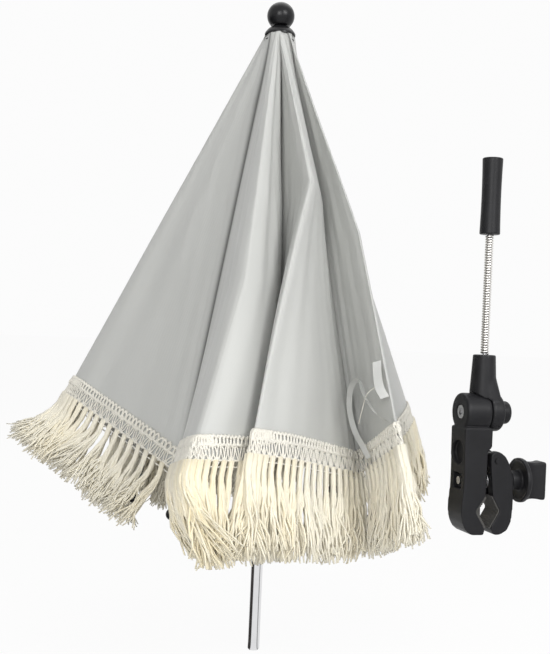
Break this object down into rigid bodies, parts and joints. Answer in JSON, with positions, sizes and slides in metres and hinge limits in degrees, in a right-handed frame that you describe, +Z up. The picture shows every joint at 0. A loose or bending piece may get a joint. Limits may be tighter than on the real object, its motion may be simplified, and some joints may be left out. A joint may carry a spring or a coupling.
{
  "type": "pram parasol",
  "caption": "Fringed folding pram parasol on a plain shaft, with a separate gooseneck clamp arm that grips a tube and takes the shaft in its sleeve.",
  "frame": {"origin": "lower end of the shaft tube, on its axis", "axes": "+Z up the shaft to the finial, -Y towards the picture's viewer, +X towards the clamp arm"},
  "size_m": [0.4142, 0.4469, 0.5153],
  "materials": {
    "black_plastic": "moulded, satin gloss",
    "chrome": "bright chrome plate",
    "satin_cloth": "silver grey satin with cream fringe",
    "steel": "zinc plated",
    "coil_steel": "wound bright wire",
    "rubber": "ribbed black rubber"
  },
  "bodies": {
    "shaft_and_clamp": {"shaft": "chrome", "end_plug": "chrome", "runner_stop": "steel", "finial": "black_plastic", "crown_cap": "black_plastic", "rib_notch": "black_plastic", "rib_pins": "steel", "clamp_body": "black_plastic", "jaw_pin": "steel", "fixed_pad": "rubber", "screw_nut": "steel", "pivot_bolt": "steel", "pivot_nut": "steel", "jaw_spring": "steel"},
    "runner": {"runner": "black_plastic", "runner_pins": "steel"},
    "arm": {"arm_knuckle": "black_plastic", "gooseneck_core": "coil_steel", "gooseneck_coil": "coil_steel", "button_spring": "steel"},
    "arm_top": {"sleeve": "black_plastic"},
    "tilt_button": {"tilt_button": "black_plastic"},
    "moving_jaw": {"moving_jaw": "black_plastic", "moving_pad": "rubber"},
    "thrust_washer": {"thrust_washer": "steel"},
    "knob": {"knob": "black_plastic", "clamp_screw": "steel"},
    "rib_1": {"rib_1": "steel"},
    "stretcher_1": {"stretcher_1": "steel"},
    "rib_2": {"rib_2": "steel"},
    "stretcher_2": {"stretcher_2": "steel"},
    "rib_3": {"rib_3": "steel"},
    "stretcher_3": {"stretcher_3": "steel"},
    "rib_4": {"rib_4": "steel"},
    "stretcher_4": {"stretcher_4": "steel"},
    "rib_5": {"rib_5": "steel"},
    "stretcher_5": {"stretcher_5": "steel"},
    "rib_6": {"rib_6": "steel"},
    "stretcher_6": {"stretcher_6": "steel"},
    "rib_7": {"rib_7": "steel"},
    "stretcher_7": {"stretcher_7": "steel"},
    "rib_8": {"rib_8": "steel"},
    "stretcher_8": {"stretcher_8": "steel"},
    "half_1a": {"canopy_half_1a": "satin_cloth"},
    "half_1b": {"canopy_half_1b": "satin_cloth"},
    "half_2a": {"canopy_half_2a": "satin_cloth"},
    "half_2b": {"canopy_half_2b": "satin_cloth"},
    "half_3a": {"canopy_half_3a": "satin_cloth"},
    "half_3b": {"canopy_half_3b": "satin_cloth"},
    "half_4a": {"canopy_half_4a": "satin_cloth", "closing_strap": "satin_cloth"},
    "half_4b": {"canopy_half_4b": "satin_cloth"},
    "half_5a": {"canopy_half_5a": "satin_cloth"},
    "half_5b": {"canopy_half_5b": "satin_cloth"},
    "half_6a": {"canopy_half_6a": "satin_cloth"},
    "half_6b": {"canopy_half_6b": "satin_cloth"},
    "half_7a": {"canopy_half_7a": "satin_cloth"},
    "half_7b": {"canopy_half_7b": "satin_cloth"},
    "half_8a": {"canopy_half_8a": "satin_cloth"},
    "half_8b": {"canopy_half_8b": "satin_cloth"}
  },
  "joints": [
    {"name": "canopy_open", "type": "hinge", "parent": "shaft_and_clamp", "child": "rib_1", "pos_m": [-0.00895, -0.00094, 0.475], "axis": [-0.1045, 0.9945, 0], "range_deg": [-9, 51], "deforming": ["canopy_half_1a", "canopy_half_1b", "canopy_half_2a", "canopy_half_2b", "canopy_half_3a", "canopy_half_3b", "canopy_half_4a", "canopy_half_4b", "canopy_half_5a", "canopy_half_5b", "canopy_half_6a", "canopy_half_6b", "canopy_half_7a", "canopy_half_7b", "canopy_half_8a", "canopy_half_8b", "closing_strap"]},
    {"name": "stretcher_1_hinge", "type": "hinge", "parent": "rib_1", "child": "stretcher_1", "pos_m": [-0.04745, -0.00499, 0.31975], "axis": [-0.1045, 0.9945, 0], "range_deg": [-102.5, 18.5]},
    {"name": "runner_hinge", "type": "hinge", "parent": "stretcher_1", "child": "runner", "pos_m": [-0.00895, -0.00094, 0.16451], "axis": [-0.1045, 0.9945, 0], "range_deg": [-9.5, 51.5]},
    {"name": "rib_2_hinge", "type": "hinge", "parent": "shaft_and_clamp", "child": "rib_2", "pos_m": [-0.00566, -0.00699, 0.475], "axis": [-0.7771, 0.6293, 0], "range_deg": [-9.5, 51.5]},
    {"name": "stretcher_2_hinge", "type": "hinge", "parent": "rib_2", "child": "stretcher_2", "pos_m": [-0.03002, -0.03708, 0.31975], "axis": [-0.7771, 0.6293, 0], "range_deg": [-102.5, 18.5]},
    {"name": "rib_3_hinge", "type": "hinge", "parent": "shaft_and_clamp", "child": "rib_3", "pos_m": [0.00094, -0.00895, 0.475], "axis": [-0.9945, -0.1045, 0], "range_deg": [-9.5, 51.5]},
    {"name": "stretcher_3_hinge", "type": "hinge", "parent": "rib_3", "child": "stretcher_3", "pos_m": [0.00499, -0.04745, 0.31975], "axis": [-0.9945, -0.1045, 0], "range_deg": [-102.5, 18.5]},
    {"name": "rib_4_hinge", "type": "hinge", "parent": "shaft_and_clamp", "child": "rib_4", "pos_m": [0.00699, -0.00566, 0.475], "axis": [-0.6293, -0.7771, 0], "range_deg": [-9.5, 51.5]},
    {"name": "stretcher_4_hinge", "type": "hinge", "parent": "rib_4", "child": "stretcher_4", "pos_m": [0.03708, -0.03002, 0.31975], "axis": [-0.6293, -0.7771, 0], "range_deg": [-102.5, 18.5]},
    {"name": "rib_5_hinge", "type": "hinge", "parent": "shaft_and_clamp", "child": "rib_5", "pos_m": [0.00895, 0.00094, 0.475], "axis": [0.1045, -0.9945, 0], "range_deg": [-9.5, 51.5]},
    {"name": "stretcher_5_hinge", "type": "hinge", "parent": "rib_5", "child": "stretcher_5", "pos_m": [0.04745, 0.00499, 0.31975], "axis": [0.1045, -0.9945, 0], "range_deg": [-102.5, 18.5]},
    {"name": "rib_6_hinge", "type": "hinge", "parent": "shaft_and_clamp", "child": "rib_6", "pos_m": [0.00566, 0.00699, 0.475], "axis": [0.7771, -0.6293, 0], "range_deg": [-9.5, 51.5]},
    {"name": "stretcher_6_hinge", "type": "hinge", "parent": "rib_6", "child": "stretcher_6", "pos_m": [0.03002, 0.03708, 0.31975], "axis": [0.7771, -0.6293, 0], "range_deg": [-102.5, 18.5]},
    {"name": "rib_7_hinge", "type": "hinge", "parent": "shaft_and_clamp", "child": "rib_7", "pos_m": [-0.00094, 0.00895, 0.475], "axis": [0.9945, 0.1045, 0], "range_deg": [-9.5, 51.5]},
    {"name": "stretcher_7_hinge", "type": "hinge", "parent": "rib_7", "child": "stretcher_7", "pos_m": [-0.00499, 0.04745, 0.31975], "axis": [0.9945, 0.1045, 0], "range_deg": [-102.5, 18.5]},
    {"name": "rib_8_hinge", "type": "hinge", "parent": "shaft_and_clamp", "child": "rib_8", "pos_m": [-0.00699, 0.00566, 0.475], "axis": [0.6293, 0.7771, 0], "range_deg": [-9.5, 51.5]},
    {"name": "stretcher_8_hinge", "type": "hinge", "parent": "rib_8", "child": "stretcher_8", "pos_m": [-0.03708, 0.03002, 0.31975], "axis": [0.6293, 0.7771, 0], "range_deg": [-102.5, 18.5]},
    {"name": "half_1a_fold", "type": "hinge", "parent": "rib_1", "child": "half_1a", "pos_m": [-0.01098, -0.00115, 0.47551], "axis": [-0.2406, -0.0253, -0.9703], "range_deg": [-129.17, 23.21]},
    {"name": "half_1b_fold", "type": "hinge", "parent": "rib_2", "child": "half_1b", "pos_m": [-0.00695, -0.00858, 0.47551], "axis": [-0.1522, -0.188, -0.9703], "range_deg": [-2.65, 12.69]},
    {"name": "half_2a_fold", "type": "hinge", "parent": "rib_2", "child": "half_2a", "pos_m": [-0.00695, -0.00858, 0.47551], "axis": [-0.1522, -0.188, -0.9703], "range_deg": [-56.63, 10.41]},
    {"name": "half_2b_fold", "type": "hinge", "parent": "rib_3", "child": "half_2b", "pos_m": [0.00115, -0.01098, 0.47551], "axis": [0.0253, -0.2406, -0.9703], "range_deg": [-13.04, 71.57]},
    {"name": "half_3a_fold", "type": "hinge", "parent": "rib_3", "child": "half_3a", "pos_m": [0.00115, -0.01098, 0.47551], "axis": [0.0253, -0.2406, -0.9703], "range_deg": [-116.88, 21.04]},
    {"name": "half_3b_fold", "type": "hinge", "parent": "rib_4", "child": "half_3b", "pos_m": [0.00858, -0.00695, 0.47551], "axis": [0.188, -0.1522, -0.9703], "range_deg": [-4.09, 20.83]},
    {"name": "half_4a_fold", "type": "hinge", "parent": "rib_4", "child": "half_4a", "pos_m": [0.00858, -0.00695, 0.47551], "axis": [0.188, -0.1522, -0.9703], "range_deg": [-135.52, 24.33]},
    {"name": "half_4b_fold", "type": "hinge", "parent": "rib_5", "child": "half_4b", "pos_m": [0.01098, 0.00115, 0.47551], "axis": [0.2406, 0.0253, -0.9703], "range_deg": [-1.94, 8.64]},
    {"name": "half_5a_fold", "type": "hinge", "parent": "rib_5", "child": "half_5a", "pos_m": [0.01098, 0.00115, 0.47551], "axis": [0.2406, 0.0253, -0.9703], "range_deg": [-37.44, 7.02]},
    {"name": "half_5b_fold", "type": "hinge", "parent": "rib_6", "child": "half_5b", "pos_m": [0.00695, 0.00858, 0.47551], "axis": [0.1522, 0.188, -0.9703], "range_deg": [-17.01, 94.05]},
    {"name": "half_6a_fold", "type": "hinge", "parent": "rib_6", "child": "half_6a", "pos_m": [0.00695, 0.00858, 0.47551], "axis": [0.1522, 0.188, -0.9703], "range_deg": [-63.97, 11.7]},
    {"name": "half_6b_fold", "type": "hinge", "parent": "rib_7", "child": "half_6b", "pos_m": [-0.00115, 0.01098, 0.47551], "axis": [-0.0253, 0.2406, -0.9703], "range_deg": [-11.7, 63.97]},
    {"name": "half_7a_fold", "type": "hinge", "parent": "rib_7", "child": "half_7a", "pos_m": [-0.00115, 0.01098, 0.47551], "axis": [-0.0253, 0.2406, -0.9703], "range_deg": [-63.97, 11.7]},
    {"name": "half_7b_fold", "type": "hinge", "parent": "rib_8", "child": "half_7b", "pos_m": [-0.00858, 0.00695, 0.47551], "axis": [-0.188, 0.1522, -0.9703], "range_deg": [-11.7, 63.97]},
    {"name": "half_8a_fold", "type": "hinge", "parent": "rib_8", "child": "half_8a", "pos_m": [-0.00858, 0.00695, 0.47551], "axis": [-0.188, 0.1522, -0.9703], "range_deg": [-116.88, 21.04]},
    {"name": "half_8b_fold", "type": "hinge", "parent": "rib_1", "child": "half_8b", "pos_m": [-0.01098, -0.00115, 0.47551], "axis": [-0.2406, -0.0253, -0.9703], "range_deg": [-4.09, 20.83]},
    {"name": "arm_tilt", "type": "hinge", "parent": "shaft_and_clamp", "child": "arm", "pos_m": [0.1704, -0.016, 0.1914], "axis": [0.9563, 0.2924, 0], "range_deg": [-90, 90]},
    {"name": "gooseneck_bend", "type": "hinge", "parent": "arm", "child": "arm_top", "pos_m": [0.1704, -0.016, 0.28315], "axis": [-0.2924, 0.9563, 0], "range_deg": [-60, 60], "deforming": ["gooseneck_coil", "gooseneck_core"]},
    {"name": "button_press", "type": "slide", "parent": "arm", "child": "tilt_button", "axis": [-0.9563, -0.2924, 0], "range_m": [0, 0.0025], "stiffness_N_per_m": 400, "deforming": ["button_spring"]},
    {"name": "jaw_swing", "type": "hinge", "parent": "shaft_and_clamp", "child": "moving_jaw", "pos_m": [0.17901, -0.01337, 0.1548], "axis": [0.2924, -0.9563, 0], "range_deg": [0, 20], "deforming": ["jaw_spring"]},
    {"name": "screw_travel", "type": "slide", "parent": "shaft_and_clamp", "child": "thrust_washer", "axis": [0.9563, 0.2924, 0], "range_m": [-0.0005, 0.0125]},
    {"name": "knob_turn", "type": "hinge", "parent": "thrust_washer", "child": "knob", "pos_m": [0.1704, -0.016, 0.1383], "axis": [0.9563, 0.2924, 0], "range_deg": [-5, 725]}
  ],
  "couplings": [
    {"joint": "stretcher_1_hinge", "follows": "canopy_open", "ratio": -2},
    {"joint": "runner_hinge", "follows": "canopy_open", "ratio": 1},
    {"joint": "rib_2_hinge", "follows": "canopy_open", "ratio": 1},
    {"joint": "stretcher_2_hinge", "follows": "canopy_open", "ratio": -2},
    {"joint": "rib_3_hinge", "follows": "canopy_open", "ratio": 1},
    {"joint": "stretcher_3_hinge", "follows": "canopy_open", "ratio": -2},
    {"joint": "rib_4_hinge", "follows": "canopy_open", "ratio": 1},
    {"joint": "stretcher_4_hinge", "follows": "canopy_open", "ratio": -2},
    {"joint": "rib_5_hinge", "follows": "canopy_open", "ratio": 1},
    {"joint": "stretcher_5_hinge", "follows": "canopy_open", "ratio": -2},
    {"joint": "rib_6_hinge", "follows": "canopy_open", "ratio": 1},
    {"joint": "stretcher_6_hinge", "follows": "canopy_open", "ratio": -2},
    {"joint": "rib_7_hinge", "follows": "canopy_open", "ratio": 1},
    {"joint": "stretcher_7_hinge", "follows": "canopy_open", "ratio": -2},
    {"joint": "rib_8_hinge", "follows": "canopy_open", "ratio": 1},
    {"joint": "stretcher_8_hinge", "follows": "canopy_open", "ratio": -2},
    {"joint": "half_1a_fold", "follows": "canopy_open", "ratio": -2.523},
    {"joint": "half_1b_fold", "follows": "canopy_open", "ratio": 0.23893},
    {"joint": "half_2a_fold", "follows": "canopy_open", "ratio": -1.1006},
    {"joint": "half_2b_fold", "follows": "canopy_open", "ratio": 1.3934},
    {"joint": "half_3a_fold", "follows": "canopy_open", "ratio": -2.2819},
    {"joint": "half_3b_fold", "follows": "canopy_open", "ratio": 0.39857},
    {"joint": "half_4a_fold", "follows": "canopy_open", "ratio": -2.6474},
    {"joint": "half_4b_fold", "follows": "canopy_open", "ratio": 0.1596},
    {"joint": "half_5a_fold", "follows": "canopy_open", "ratio": -0.72431},
    {"joint": "half_5b_fold", "follows": "canopy_open", "ratio": 1.8343},
    {"joint": "half_6a_fold", "follows": "canopy_open", "ratio": -1.2445},
    {"joint": "half_6b_fold", "follows": "canopy_open", "ratio": 1.2445},
    {"joint": "half_7a_fold", "follows": "canopy_open", "ratio": -1.2445},
    {"joint": "half_7b_fold", "follows": "canopy_open", "ratio": 1.2445},
    {"joint": "half_8a_fold", "follows": "canopy_open", "ratio": -2.2819},
    {"joint": "half_8b_fold", "follows": "canopy_open", "ratio": 0.39857},
    {"joint": "screw_travel", "follows": "jaw_swing", "m_per_rad": 0.034377},
    {"joint": "knob_turn", "follows": "jaw_swing", "ratio": 36}
  ]
}
